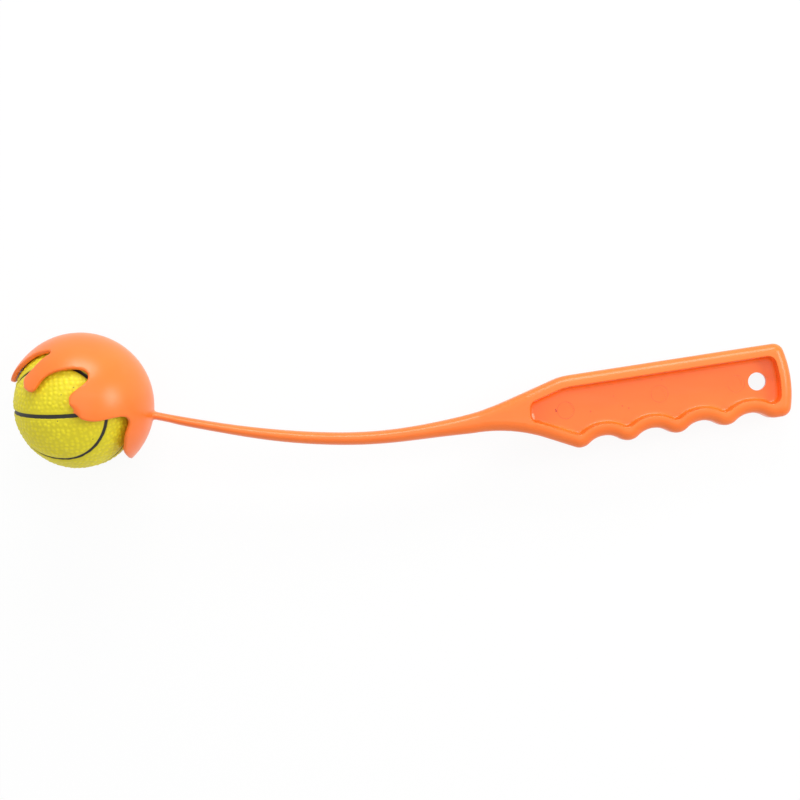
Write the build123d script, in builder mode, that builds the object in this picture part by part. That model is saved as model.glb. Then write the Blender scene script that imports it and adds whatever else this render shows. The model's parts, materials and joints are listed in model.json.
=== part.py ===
from build123d import *
import os
from math import asin, atan, atan2, cos, degrees, hypot, radians, sin, tan

# A ball thrower for dogs: a six-fingered cup on a springy arm, with a grip that has finger valleys and
# a hole to hang it by, and the foam-rubber ball that snaps into the cup. Until the last step the cup's
# centre is the origin, X runs towards the grip's butt, Y is in the plane of the throw, towards the
# grip's straight top edge, and the moulding is symmetric about Z = 0. At the end it is laid on its
# side, as it lies on a table. Lengths are in millimetres and angles in degrees.

# Ball
ball_diameter = 59.0
seam_width = 1.6
seam_depth = 0.5
equator_lean = -4.4
equator_roll = 10.7
loop_turn = 20.7
loop_reach_along = 54.7
loop_reach_across = 47.2

# Cup
ball_play = 1.7
ball_gap = 0.3
ball_rest_angle = 130.0
cup_wall = 2.2
mouth_angle = 236.5
tip_latitude = 14.5
closing_latitude = 40.0
closing_overlap = 5.0

# Arm
root_length = 8.0
root_angle = -8.0
root_slope = -11.2
root_height = 3.6
root_depth = 8.2
root_fillet = 1.0
arm_length = 140.2
arm_low_reach = 78.6
arm_low_drop = 9.1
neck_rise = 7.7
neck_slope = 11.1
neck_height = 9.5
neck_depth = 14.3
depth_round_share = 0.44
height_round_share = 0.48

# Grip
grip_depth = 18.0
rim_round = 4.4
rim_width = 5.3
rim_inner_round = 0.4
web = 3.0
pocket_draft = 3.0
shoulder_length = 22.0
ramp_start_slope = 19.5
ramp_bend = 177.0
ramp_slope = 24.3
ramp_length = 25.0
ramp_round = 28.0
grip_slope = 8.78
butt_lead = 0.4
butt_radius = 52.0
butt_corner = 4.8
nose_slope = 17.5
nose_length = 13.8
nose_round = 5.0
first_crest_reach = 45.9
first_crest_drop = 6.9
heel_length = 6.3
finger_pitch = 22.3
valley_count = 4
valley_depth = 3.8
crest_round = 6.9
pocket_start = 22.6
pocket_round = 4.0
pocket_floor_round = 2.0
hang_hole_diameter = 8.2
hang_hole_inset = 12.1
hang_hole_below_top = 15.9
marks_below_top = 15.5
pin_mark_diameter = 7.7
pin_mark_depth = 0.15

overrun = 5.0
tolerance = 0.02

# Outlines of the gaps between fingers, as (azimuth about the mouth's axis, latitude past the equator)
slot_facing = (26.0, -4.0)
slot_angles = [
    (0.0, 14.0), (5.6, 12.6), (9.2, 9.5), (12.6, 5.3), (17.0, 0.3), (21.0, -5.5), (25.3, -12.2),
    (31.0, -19.2), (37.0, -24.0), (41.3, -26.2), (43.3, -24.6), (43.0, -20.0), (42.4, -9.0),
    (40.9, -0.5), (40.6, 3.3), (42.6, 7.0), (45.6, 9.1), (49.5, 9.8),
]
upper_facing = (75.0, -6.0)
upper_angles = [
    (49.5, 9.8), (53.2, 9.3), (56.2, 7.2), (57.3, 3.0), (57.4, -3.0), (58.8, -9.0), (62.3, -15.3),
    (67.0, -20.6), (72.5, -25.5), (77.5, -28.4), (82.5, -29.8), (86.8, -28.8), (89.2, -25.6),
    (89.2, -21.5), (87.6, -15.5), (85.7, -9.5), (85.8, -5.0), (88.2, -1.4), (92.0, 1.2),
    (96.5, 3.2), (101.0, 4.0),
]
lower_facing = (135.0, -2.0)
lower_angles = [
    (101.0, 4.0), (106.0, 3.1), (112.0, 0.4), (118.5, -4.8), (124.0, -9.8), (128.5, -13.0),
    (133.5, -14.3), (137.4, -12.7), (139.3, -9.5), (140.6, -4.5), (143.1, 0.4), (147.3, 4.8),
    (153.4, 8.6), (160.0, 10.6), (168.5, 12.0), (180.0, 12.5),
]
# How far the arm has grown in height and in depth from its root to its neck, at even steps along it
arm_growth_shares = [
    (0.11, 0.10), (0.21, 0.20), (0.31, 0.30), (0.35, 0.40), (0.38, 0.51), (0.44, 0.64), (0.60, 0.80),
]
# Places of the round ejector marks, as shares of the grip's straight top edge
pin_mark_shares = [0.0, 0.42, 0.77]
# A face whose normal leans along Z by less than this share is one of the grip's outer walls
wall_lean_share = 0.45

# Values worked out from the sizes
ball_radius = ball_diameter / 2
cup_inner = ball_radius + ball_play
cup_outer = cup_inner + cup_wall
cutter_reach = cup_outer + overrun
half_depth = grip_depth / 2
half_seam_angle = degrees(seam_width / ball_diameter)
wave_turn = 2 * degrees(atan(2 * valley_depth / finger_pitch))


def heading(angle):
    """The direction at an angle in the plane of the throw."""
    return Vector(cos(radians(angle)), sin(radians(angle)), 0)


mouth = heading(mouth_angle)
crown = heading(mouth_angle - 90)
sideways = Vector(0, 0, 1)
root = heading(root_angle) * (cup_outer + root_length)
arm_low = root + Vector(arm_low_reach, -arm_low_drop, 0)
neck = arm_low + Vector(arm_length - arm_low_reach, neck_rise, 0)
neck_top = neck + Vector(0, neck_height / 2, 0)
neck_bottom = neck - Vector(0, neck_height / 2, 0)
first_crest = neck_bottom + Vector(first_crest_reach, -first_crest_drop, 0)


def ray(azimuth, latitude):
    """The direction from the cup's centre to a place on the cup."""
    across = crown * cos(radians(azimuth)) + sideways * sin(radians(azimuth))
    return across * cos(radians(latitude)) + mouth * sin(radians(latitude))


def gap_cutter(facing, angles):
    """A cone from the cup's centre through the outline of one gap between fingers."""
    forward = ray(*facing)
    window = Plane(origin=forward * cutter_reach, x_dir=mouth.cross(forward), z_dir=forward)

    def place(azimuth, latitude):
        spot = ray(azimuth, latitude)
        return window.to_local_coords(spot * (cutter_reach / spot.dot(forward)))

    (first, first_latitude), (last, last_latitude) = angles[0], angles[-1]
    starts = place(first + 1, first_latitude) - place(first, first_latitude)
    ends = place(last, last_latitude) - place(last - 1, last_latitude)
    with BuildPart() as cutter:
        with BuildSketch(window) as opening:
            with BuildLine():
                edge = Spline(*[place(*spot) for spot in angles], tangents=(starts, ends))
                Polyline(
                    edge @ 1,
                    place(last + closing_overlap, closing_latitude),
                    place(first - closing_overlap, closing_latitude),
                    edge @ 0,
                )
            make_face()
        loft([opening.sketch.face(), Vertex(0, 0, 0)])
    return cutter.part


def bar_section(plane, height, depth):
    """The section of a bar whose corners are rounded by quarters of an ellipse."""
    round_across = min(depth * depth_round_share, rim_round)
    round_up = min(height * height_round_share, rim_round)
    across, up = depth / 2 - round_across, height / 2 - round_up
    centres = [(across, up), (-across, up), (-across, -up), (across, -up)]
    with BuildSketch(plane) as section:
        with BuildLine():
            corners = [
                EllipticalCenterArc(centre, round_across, round_up, 90 * count, arc_size=90)
                for count, centre in enumerate(centres)
            ]
            for corner, following in zip(corners, corners[1:] + corners[:1]):
                Line(corner @ 1, following @ 0)
        make_face()
    return section.sketch.face()


def under_spot(along, up):
    """A point by the grip's underside, from the first crest along the crests and into the grip."""
    return first_crest + heading(grip_slope) * along + heading(grip_slope + 90) * up


def crest_spot(crest, turn, radius=crest_round):
    """A point on the round of one crest between fingers, by how far the round has turned there."""
    along = crest * finger_pitch + radius * sin(radians(turn))
    return under_spot(along, radius * (1 - cos(radians(turn))))


# The cup: a bowl open at the mouth, a stub for the arm, and the gaps that leave six fingers
gaps = [
    gap_cutter(slot_facing, slot_angles),
    gap_cutter(upper_facing, upper_angles),
    gap_cutter(lower_facing, lower_angles),
]
root_plane = Plane(origin=root, x_dir=sideways, z_dir=heading(root_slope))
root_section = bar_section(root_plane, root_height, root_depth)

with BuildPart() as cup:
    with BuildSketch(Plane(origin=(0, 0, 0), x_dir=crown, z_dir=sideways)):
        with BuildLine():
            outside = CenterArc((0, 0), cup_outer, -90, 90 + tip_latitude)
            Polyline(outside @ 0, (0, 0), outside @ 1)
        make_face()
    revolve(axis=Axis((0, 0, 0), mouth))
    extrude(root_section, amount=-root_length - cup_wall)
    Sphere(cup_inner, mode=Mode.SUBTRACT)
    for gap in gaps:
        add(gap, mode=Mode.SUBTRACT)
        mirror(gap, about=Plane.XY, mode=Mode.SUBTRACT)
    outer_skin = cup.faces().filter_by(GeomType.SPHERE).sort_by(SortBy.AREA)[-1]
    towards_arm = heading(root_angle)
    root_edges = outer_skin.edges().filter_by(lambda edge: edge.center().dot(towards_arm) > cup_inner)
    fillet(root_edges, root_fillet)

# The arm: a bar that thickens from the cup to the grip along one easy curve
with BuildLine() as arm_line:
    Spline(root, arm_low, neck, tangents=(heading(root_slope), heading(0), heading(neck_slope)))
arm_path = arm_line.edge()

with BuildPart() as arm:
    sections = [root_section]
    for count, (height_share, depth_share) in enumerate(arm_growth_shares, start=1):
        share = count / (len(arm_growth_shares) + 1)
        across_path = Plane(origin=arm_path @ share, x_dir=sideways, z_dir=arm_path % share)
        height = root_height + (neck_height - root_height) * height_share
        depth = root_depth + (neck_depth - root_depth) * depth_share
        sections.append(bar_section(across_path, height, depth))
    neck_plane = Plane(origin=neck, x_dir=sideways, z_dir=heading(0))
    sections.append(bar_section(neck_plane, neck_height, neck_depth))
    loft(sections)

# The grip: an I-section with a rounded rim all round, four finger valleys and a web with a hole
with BuildSketch() as grip_outline:
    with BuildLine():
        bend = JernArc(neck_top, heading(ramp_start_slope), ramp_bend, ramp_slope - ramp_start_slope)
        ramp = Line(bend @ 1, (bend @ 1) + heading(ramp_slope) * ramp_length)
        heel_start = crest_spot(valley_count, 0)
        heel = Line(heel_start, heel_start + heading(grip_slope) * heel_length)
        top_length = ((heel @ 1) - (ramp @ 1)).dot(heading(grip_slope)) + butt_lead
        top = Line(ramp @ 1, (ramp @ 1) + heading(grip_slope) * top_length)
        nose_turn = -nose_slope - grip_slope
        nose_end = crest_spot(0, nose_turn, nose_round)
        nose = Line(nose_end - heading(-nose_slope) * nose_length, nose_end)
        TangentArc(nose @ 0, neck_bottom, tangent=heading(180 - nose_slope))
        ThreePointArc(nose_end, crest_spot(0, nose_turn / 2, nose_round), crest_spot(0, 0))
        ThreePointArc(crest_spot(0, 0), crest_spot(0, wave_turn / 2), crest_spot(0, wave_turn))
        for valley in range(valley_count):
            leaves, returns = crest_spot(valley, wave_turn), crest_spot(valley + 1, -wave_turn)
            ThreePointArc(leaves, under_spot((valley + 1 / 2) * finger_pitch, valley_depth), returns)
            if valley + 1 < valley_count:
                ThreePointArc(returns, crest_spot(valley + 1, 0), crest_spot(valley + 1, wave_turn))
        ThreePointArc(returns, crest_spot(valley_count, -wave_turn / 2), heel_start)
        RadiusArc(top @ 1, heel @ 1, butt_radius)
        Line(neck_bottom, neck_top)
    make_face()
    butt_corners = [
        grip_outline.vertices().sort_by_distance(top @ 1)[0],
        grip_outline.vertices().sort_by_distance(heel @ 1)[0],
    ]
    fillet(butt_corners, butt_corner)
    fillet(grip_outline.vertices().sort_by_distance(ramp @ 1)[0], ramp_round)

with BuildPart() as pocket:
    with BuildSketch(Plane.XY.offset(half_depth)) as opening:
        add(grip_outline.sketch)
        offset(amount=-rim_width - pocket_round, kind=Kind.INTERSECTION)
        pocket_end = Plane(origin=neck + Vector(pocket_start + pocket_round, 0, 0), z_dir=(1, 0, 0))
        split(bisect_by=pocket_end, keep=Keep.TOP)
        offset(amount=pocket_round, kind=Kind.ARC)
    extrude(amount=web / 2 - half_depth, taper=pocket_draft)
    fillet(pocket.faces().sort_by(Axis.Z)[0].edges(), pocket_floor_round)

with BuildPart() as grip:
    extrude(grip_outline.sketch, amount=half_depth, both=True)
    for side in (0, -1):
        flat = grip.faces().filter_by(Axis.Z).sort_by(Axis.Z)[side]
        neck_edge = flat.edges().sort_by(Axis.X)[0]
        chamfer(neck_edge, shoulder_length, (grip_depth - neck_depth) / 2, reference=flat)
    walls = grip.faces().sort_by(Axis.X)[1:].filter_by(lambda wall: abs(wall.normal_at().Z) < wall_lean_share)
    rims = ShapeList([edge for wall in walls for edge in wall.edges()]).filter_by(Axis.Z, reverse=True)
    fillet(rims, rim_round)
    for hollow in (pocket.part, mirror(pocket.part, about=Plane.XY, mode=Mode.PRIVATE)):
        add(hollow, mode=Mode.SUBTRACT)
        flat_height = half_depth - tolerance
        inner_rim = grip.edges(Select.LAST).filter_by(lambda edge: abs(edge.center().Z) > flat_height)
        fillet(inner_rim, rim_inner_round)
    hole_spot = (top @ 1) - heading(grip_slope) * hang_hole_inset
    hole_spot += heading(grip_slope - 90) * hang_hole_below_top
    with Locations(hole_spot):
        Cylinder(hang_hole_diameter / 2, web + overrun, mode=Mode.SUBTRACT)
    for share in pin_mark_shares:
        mark_spot = (top @ share) + heading(grip_slope - 90) * marks_below_top
        with Locations(mark_spot + sideways * (web / 2)):
            Cylinder(pin_mark_diameter / 2, 2 * pin_mark_depth, mode=Mode.SUBTRACT)

# The ball: four seams run round it, two great circles and a long loop about each end of their axis
lean, roll = radians(equator_lean), radians(equator_roll)
equator_pole = Vector(sin(lean) * cos(roll), cos(lean) * cos(roll), sin(roll))
along_equator = Vector(1, 0, 0) - equator_pole * equator_pole.X
equator = Plane(origin=(0, 0, 0), x_dir=along_equator, z_dir=equator_pole)
loop_pole = equator.from_local_coords((-sin(radians(loop_turn)), -cos(radians(loop_turn)), 0))
seam_reach = ball_radius + overrun

with BuildPart() as seams:
    for end in (loop_pole, -loop_pole):
        face_on = Plane(origin=end * seam_reach, x_dir=end.cross(equator_pole), z_dir=end)
        for widened, mode in ((half_seam_angle, Mode.ADD), (-half_seam_angle, Mode.SUBTRACT)):
            with BuildSketch(face_on) as loop:
                Ellipse(
                    seam_reach * tan(radians(loop_reach_along + widened)),
                    seam_reach * tan(radians(loop_reach_across + widened)),
                )
            loft([loop.sketch.face(), Vertex(0, 0, 0)], mode=mode)
    for pole in (equator_pole, loop_pole):
        with BuildSketch(Plane(origin=pole * (-seam_width / 2), z_dir=pole)):
            Circle(seam_reach)
        extrude(amount=seam_width)
    Sphere(ball_radius - seam_depth, mode=Mode.SUBTRACT)

with BuildPart() as ball:
    Sphere(ball_radius)
    add(seams.part, mode=Mode.SUBTRACT)

# Laid on its side, the cup and the grip's butt touch the table, and the box's bottom centre is the origin
ball.part.move(Location(heading(ball_rest_angle) * (ball_play - ball_gap)))
butt_reach = grip.part.bounding_box().max.X - rim_round
edge_height = half_depth - rim_round
drop = cup_outer - rim_round
tilt = degrees(asin(drop / hypot(butt_reach, edge_height)) - atan2(edge_height, butt_reach))
pieces = {"cup": cup, "arm": arm, "grip": grip, "ball": ball}
for piece in pieces.values():
    piece.part.move(Location((0, 0, 0), (0, tilt, 0)))
corners = [corner for piece in pieces.values() for corner in piece.part.tessellate(tolerance)[0]]
low_x, high_x = min(corner.X for corner in corners), max(corner.X for corner in corners)
low_y, high_y = min(corner.Y for corner in corners), max(corner.Y for corner in corners)
floor = min(corner.Z for corner in corners)
for piece in pieces.values():
    piece.part.move(Location((-(low_x + high_x) / 2, -(low_y + high_y) / 2, -floor)))

os.makedirs("parts", exist_ok=True)
cup.part.label = "cup"
export_step(cup.part, "parts/cup.step")
arm.part.label = "arm"
export_step(arm.part, "parts/arm.step")
grip.part.label = "grip"
export_step(grip.part, "parts/grip.step")
ball.part.label = "ball"
export_step(ball.part, "parts/ball.step")
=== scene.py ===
import json
import math

import bmesh
import bpy
import numpy as np
from mathutils import Matrix, Vector
from mathutils.kdtree import KDTree


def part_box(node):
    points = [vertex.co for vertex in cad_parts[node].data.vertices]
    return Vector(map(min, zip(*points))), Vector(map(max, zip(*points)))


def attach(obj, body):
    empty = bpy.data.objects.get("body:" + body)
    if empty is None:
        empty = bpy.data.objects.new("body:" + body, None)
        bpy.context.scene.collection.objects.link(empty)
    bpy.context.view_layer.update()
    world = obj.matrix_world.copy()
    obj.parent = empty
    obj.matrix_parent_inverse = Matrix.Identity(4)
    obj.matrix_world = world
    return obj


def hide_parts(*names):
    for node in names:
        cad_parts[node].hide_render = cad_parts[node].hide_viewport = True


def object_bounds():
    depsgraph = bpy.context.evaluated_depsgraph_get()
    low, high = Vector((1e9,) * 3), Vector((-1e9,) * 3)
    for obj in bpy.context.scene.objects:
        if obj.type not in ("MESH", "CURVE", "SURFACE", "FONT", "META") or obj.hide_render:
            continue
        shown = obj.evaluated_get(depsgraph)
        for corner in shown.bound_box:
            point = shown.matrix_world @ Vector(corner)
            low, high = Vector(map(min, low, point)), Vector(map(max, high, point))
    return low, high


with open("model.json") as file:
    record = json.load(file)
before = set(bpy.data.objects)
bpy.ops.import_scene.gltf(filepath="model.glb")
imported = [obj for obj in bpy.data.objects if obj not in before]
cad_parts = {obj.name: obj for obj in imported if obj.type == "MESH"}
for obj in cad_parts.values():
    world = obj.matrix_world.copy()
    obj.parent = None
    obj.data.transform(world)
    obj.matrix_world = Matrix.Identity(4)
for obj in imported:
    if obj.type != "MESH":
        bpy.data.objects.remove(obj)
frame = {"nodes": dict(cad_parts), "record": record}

# The thrower's looks. Lengths are in metres and angles in degrees. The moulding lies tilted, so most
# places are given in its own axes: along it from the cup to the butt, up towards the grip's straight
# edge, and out of its middle plane. The cup's centre is the origin of those axes. Tones are display
# values from 0 to 255.

# Where the photograph was taken from, in the moulding's axes
camera_target = (0.1452, 0.0027)
camera_distance = 1.0
sensor_width = 36.0
view_width = 0.3636
clip_near, clip_far = 0.05, 20.0

# Cup: its outer reach, then where its root ends on the arm and how that end is turned
cup_reach = 0.0334
root_reach = 0.0414
root_angle = -8.0
root_slope = -11.2
weld_reach = 0.00001
cup_voxel = 0.0004
# Its lips are rounded by drawing its points together, which fades out towards the arm
lip_rounds = 9
lip_pull_share = 0.5
lip_fade_start, lip_fade_end = 0.001, 0.005
# The tips of the large lobe and the left front finger, on either side, where the lip is rounder:
# places along, up and out, then how strongly
round_tips = [(0.0013, -0.0033, 0.0328, 1.0), (-0.0227, 0.0085, 0.0230, 0.16)]
tip_rounds = 110
tip_fade_start, tip_fade_end = 0.0015, 0.0045
# The left finger stands a little off the ball at its tip
flare_tip = (-0.0305, 0.0125, 0.006)
flare_lift = 0.00025
flare_start, flare_end = 0.003, 0.013
# The lower fingers' inner edges, set back by a turn about the cup's upright axis. The turn fades out
# away from the edge, upwards past the height of the cup's centre, at trim_low's depths below it and
# towards the middle plane.
trim_turn = 3.3
trim_edge, trim_edge_slope = 0.0247, 0.22
trim_start, trim_end = 0.001, 0.009
trim_top_start, trim_top_end = -0.003, 0.006
trim_low_start, trim_low_end = 0.016, 0.022
trim_side = 0.012

# Plastic: a cloudy tone, with flow marks drawn out along the moulding
plastic_tones = [(0.30, (253, 118, 35)), (0.70, (255, 125, 41))]
plastic_cloud_scale, plastic_cloud_detail = 42.0, 4.0
plastic_smooth, plastic_rough = 0.27, 0.37
plastic_ior = 1.50
sheen_weight, sheen_roughness, sheen_tint = 0.55, 0.08, (1.0, 0.84, 0.90, 1.0)
flow_tone = (255, 142, 80)
flow_stretch = (9.0, 95.0, 95.0)
flow_scale, flow_detail = 1.6, 3.0
flow_start, flow_end, flow_strength = 0.52, 0.75, 0.12
mottle_scale, mottle_detail, mottle_strength, mottle_depth = 520.0, 2.0, 0.10, 0.00010
grain_scale, grain_detail, grain_strength, grain_depth = 2600.0, 2.0, 0.12, 0.00006
# Marks on the moulding: places along, up and out, then a radius
faint_tone = (240, 92, 40)
faint_marks = [
    (0.2461, 0.0000, 0.0015, 0.00055),
    (0.2490, -0.0010, 0.0015, 0.00055),
    (0.2317, -0.0025, 0.0015, 0.00060),
    (0.2640, 0.0119, 0.0015, 0.00045),
    (0.2421, 0.0045, 0.0015, 0.00040),
]
dark_tone = (186, 48, 26)
dark_marks = [
    (0.2161, -0.0023, 0.0015, 0.00065),
    (0.2158, -0.0016, 0.0015, 0.00045),
]
light_tone = (255, 184, 140)
light_marks = [
    (0.2055, -0.0039, 0.0015, 0.00075),
    (0.2057, -0.0048, 0.0016, 0.00085),
    (0.2059, -0.0057, 0.0018, 0.00070),
]
# The round ejector marks on the grip's web: where their middles lie, and the painted shade in their edges
pin_shade_tone = (228, 84, 34)
pin_marks = [(0.2204, -0.0020, 0.0015), (0.2630, 0.0055, 0.0015), (0.2977, 0.0101, 0.0015)]
pin_mark_radius = 0.00385
pin_line_width = 0.00028
# How the painted shade in the marks' edges wavers along them, from least to most
pin_shade_scale, pin_shade_detail = 260.0, 2.0
pin_shade_start, pin_shade_end = 0.35, 0.65
pin_shade_least, pin_shade_most = 0.15, 0.85

# Ball: its size and where it lies from the cup's centre
ball_radius = 0.0295
ball_lift = 0.0014
ball_lift_angle = 130.0
ball_levels = 8
# Its seams: one round the equator, one across it, and an oval loop on either side
equator_half_width = 0.00092
seam_half_width = 0.00082
seam_slope_width = 0.00026
seam_depth = 0.00055
equator_lean, equator_roll = -4.3, 10.9
loop_turn = 14.4
loop_reach_right, loop_reach_left, loop_reach_across = 47.6, 76.0, 47.3
loop_power = 1.91
meridian_shift = 7.5
# What keeps the loop's sums from dividing by nothing, far from the loop's axis and on it
least_depth = 0.05
least_ring = 1e-9
# Its pebbles, in rows round it, with flat skin beside the seams
skin_depth = 0.00034
pebble_seed = 7
pebble_pitch = 0.0024
pebble_reach = 0.00130
pebble_height = 0.00034
pebble_low_share = 0.4
pebble_clear, pebble_fade = 0.0005, 0.0013
pebble_jitter_share = 0.15
pebble_row_least_share = 0.1

# Foam rubber: a cloudy yellow, darkened in the creases by painted shade, with paint of uneven edge in the
# seams
foam_tones = [(0.30, (234, 218, 24)), (0.70, (245, 230, 36))]
foam_cloud_scale, foam_cloud_detail = 70.0, 4.0
foam_roughness, foam_ior = 0.55, 1.45
# The painted shade in the creases between the pebbles: its tone, where it ends and how strong it is
crease_shade_tone = (202, 187, 34)
crease_end, crease_shade_strength = 0.55, 0.42
pore_scale, pore_detail, pore_strength, pore_depth = 1700.0, 3.0, 0.30, 0.00010
paint_tone = (38, 38, 34)
paint_scale, paint_detail = 480.0, 2.0
paint_wobble = 0.00034
paint_soft = 0.00007
# Dark specks on the side of the ball that faces the camera: places along and up, then a radius
speck_tone = (96, 88, 36)
speck_reach = 0.0293
ball_specks = [
    (-0.0053, -0.0078, 0.00042),
    (0.0097, -0.0157, 0.00042),
    (-0.0035, 0.0039, 0.00036),
    (0.0019, 0.0072, 0.00042),
]

# Light, where a level of 1 shows a white surface as white. A lamp has its name, its direction along,
# up and out, its distance, its two sides and its watts.
studio_level = 0.56
lamps = [
    ("key", (0.0, 0.88, 0.47), 1.2, (0.74, 0.38), 7.4),
    ("fill", (0.77, 0.24, 0.59), 0.95, (0.34, 0.34), 2.9),
    ("front", (0.0, 0.25, 0.97), 2.0, (2.0, 2.0), 11.0),
]
floor_size = 12.0
floor_tone = (246, 246, 246)
floor_roughness = 0.9
floor_white_share = 0.92

packed_low, packed_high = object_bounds()
record = frame["record"]

# The moulding's axes, from the hanging hole's axis and the ball's place in the cup
out_axis = Vector(record["mounts"][0]["axis"]).normalized()
up_axis = Vector((0, 1, 0))
along_axis = up_axis.cross(out_axis).normalized()
own_axes = np.array([along_axis, up_axis, out_axis])
ball_low, ball_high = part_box("ball")
ball_centre = (Vector(ball_low) + Vector(ball_high)) / 2


def direction(along, up, out):
    """A direction given in the moulding's own axes."""
    return (along_axis * along + up_axis * up + out_axis * out).normalized()


def heading(angle):
    """The direction at an angle in the moulding's middle plane."""
    return direction(math.cos(math.radians(angle)), math.sin(math.radians(angle)), 0)


cup_centre = ball_centre - heading(ball_lift_angle) * ball_lift


def place(along, up, out=0.0):
    """A point given in the moulding's own axes."""
    return cup_centre + along_axis * along + up_axis * up + out_axis * out


def turned(near_x, axis_z):
    """A rotation whose local Z points along axis_z, with local X as close to near_x as it can be."""
    side = (near_x - axis_z * near_x.dot(axis_z)).normalized()
    upward = axis_z.cross(side)
    return Matrix((side, upward, axis_z)).transposed().to_quaternion()


def linked(name, data):
    """A new object of the data, linked to the scene."""
    thing = bpy.data.objects.new(name, data)
    bpy.context.scene.collection.objects.link(thing)
    return thing


# Materials


def linear(red, green, blue):
    """A colour written as 0 to 255 display values, as the shader takes it, by the sRGB curve."""
    def curve(value):
        share = value / 255
        return share / 12.92 if share <= 0.04045 else ((share + 0.055) / 1.055) ** 2.4
    return (curve(red), curve(green), curve(blue), 1.0)


class Nodes:
    """A material's node tree, with short ways to add and join nodes."""

    def __init__(self, name):
        self.material = bpy.data.materials.new(name)
        self.material.use_nodes = True
        self.tree = self.material.node_tree
        self.shader = self.tree.nodes["Principled BSDF"]

    def add(self, kind, settings=None, **inputs):
        """A new node, with its settings and the values of its sockets, whose names have _ for a space."""
        node = self.tree.nodes.new(kind)
        for name, value in (settings or {}).items():
            setattr(node, name, value)
        for name, value in inputs.items():
            node.inputs[name.replace("_", " ")].default_value = value
        return node

    def join(self, from_node, output, to_node, entry):
        self.tree.links.new(from_node.outputs[output], to_node.inputs[entry])

    def set(self, **inputs):
        """Values of the shader's own sockets."""
        for name, value in inputs.items():
            self.shader.inputs[name.replace("_", " ")].default_value = value

    def noise(self, source, output, scale, detail):
        node = self.add("ShaderNodeTexNoise", Scale=scale, Detail=detail)
        self.join(source, output, node, "Vector")
        return node

    def range(self, source, output, start, end, first=0.0, last=1.0):
        """The source's value from start to end, read as first to last and held beyond them."""
        node = self.add("ShaderNodeMapRange", From_Min=start, From_Max=end, To_Min=first, To_Max=last)
        self.join(source, output, node, "Value")
        return node

    def ramp(self, source, output, tones):
        """The source's value read as a change between two tones, each at its position."""
        node = self.add("ShaderNodeValToRGB")
        for element, (position, tone) in zip(node.color_ramp.elements, tones):
            element.position = position
            element.color = linear(*tone)
        self.join(source, output, node, "Fac")
        return node

    def bump(self, source, output, strength, depth):
        node = self.add("ShaderNodeBump", Strength=strength, Distance=depth)
        self.join(source, output, node, "Height")
        return node

    def over(self, under, under_output, share, share_output, tone):
        """A tone laid over what the under node gives, by a share."""
        node = self.add("ShaderNodeMix", {"data_type": "RGBA"}, B=linear(*tone))
        self.join(share, share_output, node, "Factor")
        self.join(under, under_output, node, "A")
        return node

    def distance(self, coordinates, spot):
        """How far each place on the surface lies from a spot."""
        node = self.add("ShaderNodeVectorMath", {"operation": "DISTANCE"})
        node.inputs[1].default_value = spot
        self.join(coordinates, "Object", node, 0)
        return node

    def spots(self, under, under_output, coordinates, places, tone):
        """Small spots of a tone over what the under node gives, which fade from a third of their radius."""
        for spot, radius in places:
            away = self.distance(coordinates, spot)
            share = self.range(away, "Value", radius / 3, radius, 1.0, 0.0)
            under = self.over(under, under_output, share, "Result", tone)
            under_output = "Result"
        return under

    def line_round(self, under, under_output, coordinates, spot, tone):
        """A thin round line of painted shade in the edge of an ejector mark, uneven along its way."""
        away = self.distance(coordinates, spot)
        past = self.add("ShaderNodeMath", {"operation": "SUBTRACT"})
        past.inputs[1].default_value = pin_mark_radius
        self.join(away, "Value", past, 0)
        off = self.add("ShaderNodeMath", {"operation": "ABSOLUTE"})
        self.join(past, "Value", off, 0)
        share = self.range(off, "Value", 0.0, pin_line_width, 1.0, 0.0)
        uneven = self.noise(coordinates, "Object", pin_shade_scale, pin_shade_detail)
        strength = self.range(uneven, "Fac", pin_shade_start, pin_shade_end, pin_shade_least, pin_shade_most)
        both = self.add("ShaderNodeMath", {"operation": "MULTIPLY"})
        self.join(share, "Result", both, 0)
        self.join(strength, "Result", both, 1)
        return self.over(under, under_output, both, "Value", tone)


def orange_plastic():
    """Satin injection-moulded plastic: a fine matt grain, cloudy tone, flow marks and a few old marks."""
    nodes = Nodes("orange_plastic")
    coordinates = nodes.add("ShaderNodeTexCoord")
    cloud = nodes.noise(coordinates, "Object", plastic_cloud_scale, plastic_cloud_detail)
    tones = nodes.ramp(cloud, "Fac", plastic_tones)
    stretch = nodes.add("ShaderNodeMapping", Scale=flow_stretch)
    nodes.join(coordinates, "Object", stretch, "Vector")
    flow = nodes.noise(stretch, "Vector", flow_scale, flow_detail)
    flow_share = nodes.range(flow, "Fac", flow_start, flow_end, 0.0, flow_strength)
    colour = nodes.over(tones, "Color", flow_share, "Result", flow_tone)
    for marks, tone in ((faint_marks, faint_tone), (dark_marks, dark_tone), (light_marks, light_tone)):
        spots = [(place(*mark[:3]), mark[3]) for mark in marks]
        colour = nodes.spots(colour, "Result", coordinates, spots, tone)
    # Painted shade in the edge of each ejector mark
    for mark in pin_marks:
        colour = nodes.line_round(colour, "Result", coordinates, place(*mark), pin_shade_tone)
    nodes.join(colour, "Result", nodes.shader, "Base Color")
    rough = nodes.range(cloud, "Fac", 0.0, 1.0, plastic_smooth, plastic_rough)
    nodes.join(rough, "Result", nodes.shader, "Roughness")
    mottle = nodes.noise(coordinates, "Object", mottle_scale, mottle_detail)
    grain = nodes.noise(coordinates, "Object", grain_scale, grain_detail)
    soft_bump = nodes.bump(mottle, "Fac", mottle_strength, mottle_depth)
    fine_bump = nodes.bump(grain, "Fac", grain_strength, grain_depth)
    nodes.join(soft_bump, "Normal", fine_bump, "Normal")
    nodes.join(fine_bump, "Normal", nodes.shader, "Normal")
    nodes.set(
        IOR=plastic_ior, Sheen_Weight=sheen_weight, Sheen_Roughness=sheen_roughness, Sheen_Tint=sheen_tint
    )
    return nodes.material


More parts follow.
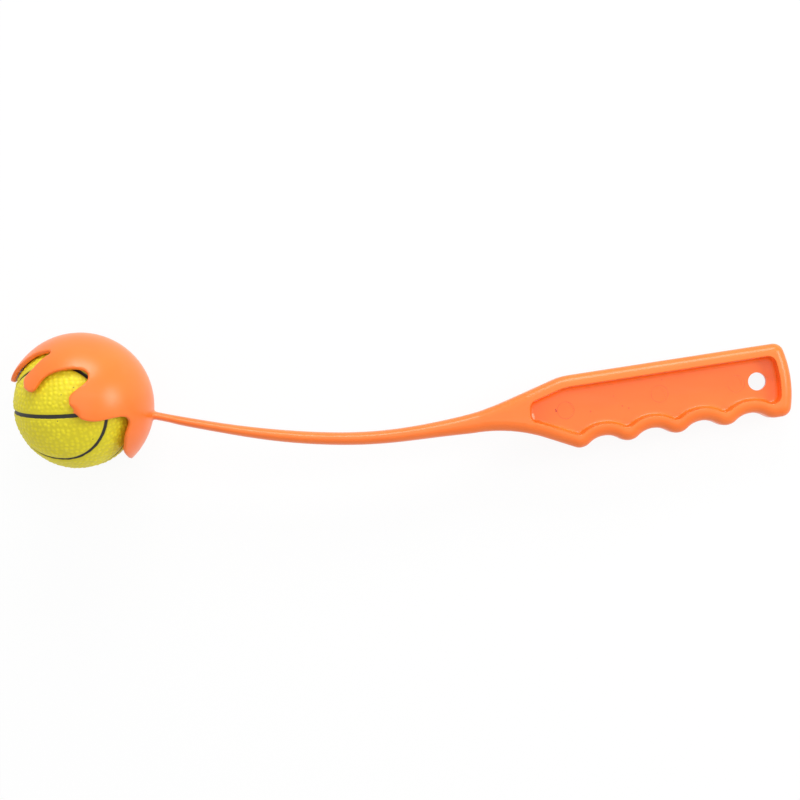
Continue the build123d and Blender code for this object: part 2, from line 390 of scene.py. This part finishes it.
def foam_rubber():
    """Yellow foam rubber with a soft matt skin, painted shade in its creases, dark paint in the seams and a
    few dark specks.
    """
    nodes = Nodes("yellow_foam_rubber")
    coordinates = nodes.add("ShaderNodeTexCoord")
    cloud = nodes.noise(coordinates, "Object", foam_cloud_scale, foam_cloud_detail)
    yellows = nodes.ramp(cloud, "Fac", foam_tones)
    pebble = nodes.add("ShaderNodeAttribute", {"attribute_name": "pebble"})
    # Painted shade in the creases between the pebbles, strongest at their feet
    crease_shade_share = nodes.range(pebble, "Fac", 0.0, crease_end, crease_shade_strength, 0.0)
    colour = nodes.over(yellows, "Color", crease_shade_share, "Result", crease_shade_tone)
    specks = []
    for along, up, radius in ball_specks:
        out = math.sqrt(speck_reach**2 - along**2 - up**2)
        specks.append((ball_centre + along_axis * along + up_axis * up + out_axis * out, radius))
    colour = nodes.spots(colour, "Result", coordinates, specks, speck_tone)
    seam_edge = nodes.add("ShaderNodeAttribute", {"attribute_name": "seam_edge"})
    wobble = nodes.noise(coordinates, "Object", paint_scale, paint_detail)
    uneven = nodes.add("ShaderNodeMath", {"operation": "MULTIPLY_ADD"})
    uneven.inputs[1].default_value = paint_wobble
    nodes.join(wobble, "Fac", uneven, 0)
    nodes.join(seam_edge, "Fac", uneven, 2)
    middle = paint_wobble / 2
    paint = nodes.range(uneven, "Value", middle - paint_soft, middle + paint_soft, 1.0, 0.0)
    colour = nodes.over(colour, "Result", paint, "Result", paint_tone)
    nodes.join(colour, "Result", nodes.shader, "Base Color")
    pores = nodes.noise(coordinates, "Object", pore_scale, pore_detail)
    bump = nodes.bump(pores, "Fac", pore_strength, pore_depth)
    nodes.join(bump, "Normal", nodes.shader, "Normal")
    nodes.set(Roughness=foam_roughness, IOR=foam_ior)
    return nodes.material


# Cup


def smooth_step(value, low, high):
    """From 0 at the low value to 1 at the high one, level at both ends."""
    share = np.clip((value - low) / (high - low), 0, 1)
    return share * share * (3 - 2 * share)


def vertex_places(mesh):
    """Where each of the mesh's points lies."""
    points = np.empty(len(mesh.vertices) * 3)
    mesh.vertices.foreach_get("co", points)
    return points.reshape(-1, 3)


def edge_ends(mesh):
    """The numbers of the two points that each edge joins."""
    ends = np.empty(len(mesh.edges) * 2, dtype=np.int64)
    mesh.edges.foreach_get("vertices", ends)
    return ends.reshape(-1, 2)


def drawn_together(points, edges, pull, rounds):
    """Points drawn towards the middle of their neighbours, by each point's own share, in rounds."""
    neighbours = np.bincount(edges.ravel(), minlength=len(points))[:, None]
    for _ in range(rounds):
        total = np.zeros_like(points)
        for axis in range(3):
            for near, far in ((0, 1), (1, 0)):
                total[:, axis] += np.bincount(edges[:, near], points[edges[:, far], axis], len(points))
        points = points + (total / neighbours - points) * pull[:, None]
    return points


def in_own_axes(points):
    """Where each point lies along, up and out from the cup's centre."""
    return (points - np.array(cup_centre)) @ own_axes.T


def lips_rounded(points, edges):
    """The points with every lip of the cup rounded, and the round_tips rounded further."""
    reach = np.linalg.norm(points - np.array(cup_centre), axis=1)
    pull = 1 - smooth_step(reach, cup_reach + lip_fade_start, cup_reach + lip_fade_end)
    points = drawn_together(points, edges, pull * lip_pull_share, lip_rounds)
    own = in_own_axes(points)
    own[:, 2] = np.abs(own[:, 2])
    pull = np.zeros(len(points))
    for *tip, share in round_tips:
        away = np.linalg.norm(own - np.array(tip), axis=1)
        pull = np.maximum(pull, (1 - smooth_step(away, tip_fade_start, tip_fade_end)) * share)
    return drawn_together(points, edges, pull * lip_pull_share, tip_rounds)


def fingers_set(points):
    """The points with the left finger lifted off the ball and the lower fingers' inner edges set back."""
    own = in_own_axes(points)
    away = np.linalg.norm(own - np.array(flare_tip), axis=1)
    share = 1 - smooth_step(away, flare_start, flare_end)
    own = own * (1 + share * flare_lift / cup_reach)[:, None]
    along, up, out = own.T
    off_edge = np.abs(along - trim_edge - trim_edge_slope * up)
    share = 1 - smooth_step(off_edge, trim_start, trim_end)
    share = share * (1 - smooth_step(up, trim_top_start, trim_top_end))
    share = share * (1 - smooth_step(-up, trim_low_start, trim_low_end))
    share = share * smooth_step(np.abs(out), 0, trim_side)
    turn = np.arctan2(along, np.abs(out)) + share * math.radians(trim_turn)
    reach = np.hypot(along, out)
    own = np.stack([reach * np.sin(turn), up, np.sign(out) * reach * np.cos(turn)], axis=1)
    return own @ own_axes + np.array(cup_centre)


def cup_and_arm(root_spot, root_way):
    """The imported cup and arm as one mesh, without the faces where they meet at the root."""
    work = bmesh.new()
    for name in ("cup", "arm"):
        work.from_mesh(frame["nodes"][name].data)
    bmesh.ops.remove_doubles(work, verts=work.verts, dist=weld_reach)
    caps = [
        face for face in work.faces
        if all(abs((vert.co - root_spot).dot(root_way)) < 2 * weld_reach for vert in face.verts)
    ]
    bmesh.ops.delete(work, geom=caps, context="FACES")
    joined = bpy.data.meshes.new("cup_and_arm")
    work.to_mesh(joined)
    work.free()
    return joined


def remeshed(mesh, voxel):
    """The mesh drawn anew on even quads of one size, as one closed skin."""
    holder = linked("voxels", mesh)
    modifier = holder.modifiers.new("voxels", "REMESH")
    modifier.mode = "VOXEL"
    modifier.voxel_size = voxel
    graph = bpy.context.evaluated_depsgraph_get()
    result = bpy.data.meshes.new_from_object(holder.evaluated_get(graph))
    bpy.data.objects.remove(holder)
    return result


def cut_at_root(mesh, root_spot, root_way):
    """The mesh cut off at the root, smooth all over, and closed there with a sharp rim."""
    work = bmesh.new()
    work.from_mesh(mesh)
    everything = work.verts[:] + work.edges[:] + work.faces[:]
    cut = bmesh.ops.bisect_plane(
        work, geom=everything, plane_co=root_spot, plane_no=root_way, clear_outer=True
    )
    for face in work.faces:
        face.smooth = True
    rim = [edge for edge in cut["geom_cut"] if isinstance(edge, bmesh.types.BMEdge)]
    for edge in rim:
        edge.smooth = False
    bmesh.ops.holes_fill(work, edges=rim)
    work.to_mesh(mesh)
    work.free()


def make_cup(material):
    """The cup with every lip rounded, as on a moulding, and its root running into the arm."""
    root_spot = cup_centre + heading(root_angle) * root_reach
    root_way = heading(root_slope)
    mesh = remeshed(cup_and_arm(root_spot, root_way), cup_voxel)
    points = lips_rounded(vertex_places(mesh), edge_ends(mesh))
    mesh.vertices.foreach_set("co", fingers_set(points).ravel())
    cut_at_root(mesh, root_spot, root_way)
    mesh.name = "rounded_cup"
    mesh.materials.clear()
    mesh.materials.append(material)
    cup = linked("rounded_cup", mesh)
    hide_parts("cup")
    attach(cup, "thrower")


# Ball


def seam_frame():
    """The pole of the equator seam, the pole between the loops, and the loops' long direction."""
    lean, roll = math.radians(equator_lean), math.radians(equator_roll)
    equator_pole = Vector(
        (math.sin(lean) * math.cos(roll), math.cos(lean) * math.cos(roll), math.sin(roll))
    )
    along = Vector((1, 0, 0))
    along = (along - equator_pole * along.dot(equator_pole)).normalized()
    across = along.cross(equator_pole)
    turn = math.radians(loop_turn)
    loop_pole = across * math.cos(turn) - along * math.sin(turn)
    return equator_pole, loop_pole, equator_pole.cross(loop_pole)


def loop_distances(depth, along, across):
    """The angle from each unit point to the oval loop round the nearer end of the loops' axis."""
    away = np.maximum(np.abs(depth), least_depth)
    here = np.stack([along / away, across / away], axis=1)
    right, left, side = (
        math.tan(math.radians(angle)) for angle in (loop_reach_right, loop_reach_left, loop_reach_across)
    )
    reach = np.stack([np.where(along > 0, right, left), np.full(len(along), side)], axis=1)
    shares = np.abs(here) / reach
    ring = np.sum(shares**loop_power, axis=1, keepdims=True) ** (1 / loop_power) + least_ring
    slope = np.sign(here) * (shares / ring) ** (loop_power - 1) / reach
    steepness = np.linalg.norm(slope, axis=1, keepdims=True) + least_ring
    foot = here - slope / steepness**2 * (ring - 1)
    rays = [np.concatenate([spot, np.ones((len(spot), 1))], axis=1) for spot in (here, foot)]
    near, far = (ray / np.linalg.norm(ray, axis=1, keepdims=True) for ray in rays)
    return np.arccos(np.clip(np.sum(near * far, axis=1), -1, 1))


def seam_edge_distances(points, equator_pole, loop_pole, long_way):
    """How far each unit point lies outside the painted edge of the nearest seam, in metres."""
    height, depth, along = (points @ np.array(pole) for pole in (equator_pole, loop_pole, long_way))
    equator = np.abs(np.arcsin(height)) * ball_radius - equator_half_width
    meridian = np.abs(np.arcsin(depth) - math.radians(meridian_shift)) * ball_radius - seam_half_width
    loop = loop_distances(depth, along, height) * ball_radius - seam_half_width
    return np.minimum(np.minimum(equator, meridian), loop)


def pebble_centres(random, equator_pole, loop_pole, long_way):
    """Rows of pebbles side by side round the ball, each row shifted by half a pebble from the last."""
    row_angle = pebble_pitch * math.sqrt(3) / 2 / ball_radius
    rows = int(math.pi / 2 / row_angle)
    centres = []
    for row in range(-rows, rows + 1):
        latitude = row * row_angle
        count = max(1, round(2 * math.pi * math.cos(latitude) * ball_radius / pebble_pitch))
        turns = (np.arange(count) + 0.5 * (row % 2)) * 2 * math.pi / count
        for turn in turns:
            shift = random.normal(0, pebble_jitter_share * pebble_pitch / ball_radius, 2)
            angle = turn + shift[0] / max(math.cos(latitude), pebble_row_least_share)
            tilt = latitude + shift[1]
            flat = long_way * math.cos(angle) + loop_pole * math.sin(angle)
            centres.append(flat * math.cos(tilt) + equator_pole * math.sin(tilt))
    return centres


def pebble_domes(points, poles):
    """How high each unit point stands on its pebble, from 0 in the creases to 1."""
    random = np.random.default_rng(pebble_seed)
    centres = pebble_centres(random, *poles)
    sizes = random.uniform(pebble_low_share, 1.0, len(centres))
    tree = KDTree(len(centres))
    for index, spot in enumerate(centres):
        tree.insert(spot, index)
    tree.balance()
    found = [tree.find(point)[1:] for point in points]
    nearest = np.array([index for index, _ in found])
    away = np.array([distance for _, distance in found]) * ball_radius
    return (1 + np.cos(math.pi * np.clip(away / pebble_reach, 0, 1))) / 2 * sizes[nearest]


def make_ball(material):
    """The ball with its pebbled skin and its sunk, painted seams."""
    mesh = bpy.data.meshes.new("foam_ball")
    work = bmesh.new()
    bmesh.ops.create_icosphere(work, subdivisions=ball_levels, radius=1.0)
    for face in work.faces:
        face.smooth = True
    work.to_mesh(mesh)
    work.free()
    points = vertex_places(mesh)
    points /= np.linalg.norm(points, axis=1, keepdims=True)
    poles = seam_frame()
    seam_edge = seam_edge_distances(points, *poles)
    domes = pebble_domes(points, poles) * smooth_step(seam_edge, pebble_clear, pebble_clear + pebble_fade)
    sunk = 1 - smooth_step(seam_edge, -seam_slope_width, seam_slope_width)
    radius = ball_radius - skin_depth + domes * pebble_height - sunk * seam_depth
    places = points * radius[:, None] @ own_axes + np.array(ball_centre)
    mesh.vertices.foreach_set("co", places.ravel())
    for name, values in (("seam_edge", seam_edge), ("pebble", domes)):
        layer = mesh.attributes.new(name, "FLOAT", "POINT")
        layer.data.foreach_set("value", values.astype(np.float32))
    mesh.update()
    mesh.materials.append(material)
    ball = linked("foam_ball", mesh)
    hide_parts("ball")
    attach(ball, "ball")


# Stage and light


def background_rays(tree):
    """A node that gives 1 to the rays that show a background: the camera's, and off gloss or glass."""
    path = tree.nodes.new("ShaderNodeLightPath")
    last, output = path, "Is Camera Ray"
    for ray in ("Is Glossy Ray", "Is Transmission Ray"):
        either = tree.nodes.new("ShaderNodeMath")
        either.operation = "MAXIMUM"
        tree.links.new(last.outputs[output], either.inputs[0])
        tree.links.new(path.outputs[ray], either.inputs[1])
        last, output = either, "Value"
    return last


def make_floor():
    """A plain white floor that keeps the object's shadow and shows white to the camera."""
    mesh = bpy.data.meshes.new("floor")
    half = floor_size / 2
    outline = ((-half, -half), (half, -half), (half, half), (-half, half))
    corners = [(x, y, packed_low.z) for x, y in outline]
    mesh.from_pydata(corners, [], [(0, 1, 2, 3)])
    floor = linked("floor", mesh)
    nodes = Nodes("floor")
    nodes.set(Base_Color=linear(*floor_tone), Roughness=floor_roughness)
    share = nodes.add("ShaderNodeMath", {"operation": "MULTIPLY"})
    share.inputs[1].default_value = floor_white_share
    nodes.join(background_rays(nodes.tree), "Value", share, 0)
    white = nodes.add("ShaderNodeEmission")
    blend = nodes.add("ShaderNodeMixShader")
    nodes.join(share, "Value", blend, 0)
    nodes.join(nodes.shader, "BSDF", blend, 1)
    nodes.join(white, "Emission", blend, 2)
    nodes.join(blend, "Shader", nodes.tree.nodes["Material Output"], "Surface")
    mesh.materials.append(nodes.material)


def make_lamps():
    """Soft boxes over and beside the object."""
    middle = place(*camera_target)
    for name, way, distance, sides, watts in lamps:
        light = bpy.data.lights.new(name, "AREA")
        light.shape = "RECTANGLE"
        light.size, light.size_y = sides
        light.energy = watts
        lamp = linked(name, light)
        lamp.location = middle + direction(*way) * distance
        lamp.rotation_mode = "QUATERNION"
        lamp.rotation_quaternion = direction(*way).to_track_quat("Z", "Y")


def make_studio():
    """An even white studio that lights the object at studio_level and shows full white behind it."""
    world = bpy.data.worlds.new("studio")
    bpy.context.scene.world = world
    world.use_nodes = True
    tree = world.node_tree
    background = tree.nodes["Background"]
    background.inputs["Color"].default_value = (1.0, 1.0, 1.0, 1.0)
    level = tree.nodes.new("ShaderNodeMath")
    level.operation = "MULTIPLY_ADD"
    level.inputs[1].default_value = 1 - studio_level
    level.inputs[2].default_value = studio_level
    tree.links.new(background_rays(tree).outputs["Value"], level.inputs[0])
    tree.links.new(level.outputs["Value"], background.inputs["Strength"])


def make_camera():
    """The photograph's camera, square to the moulding's middle plane."""
    data = bpy.data.cameras.new("camera")
    data.sensor_width = sensor_width
    data.lens = sensor_width * camera_distance / view_width
    data.clip_start = clip_near
    data.clip_end = clip_far
    camera = linked("camera", data)
    camera.location = place(*camera_target, camera_distance)
    camera.rotation_mode = "QUATERNION"
    camera.rotation_quaternion = turned(along_axis, out_axis)
    bpy.context.scene.camera = camera


plastic = orange_plastic()
for name in ("cup", "arm", "grip"):
    node = frame["nodes"][name]
    node.data.materials.clear()
    node.data.materials.append(plastic)
make_cup(plastic)
make_ball(foam_rubber())
make_floor()
make_lamps()
make_studio()
make_camera()
bpy.context.scene.view_settings.view_transform = "Standard"
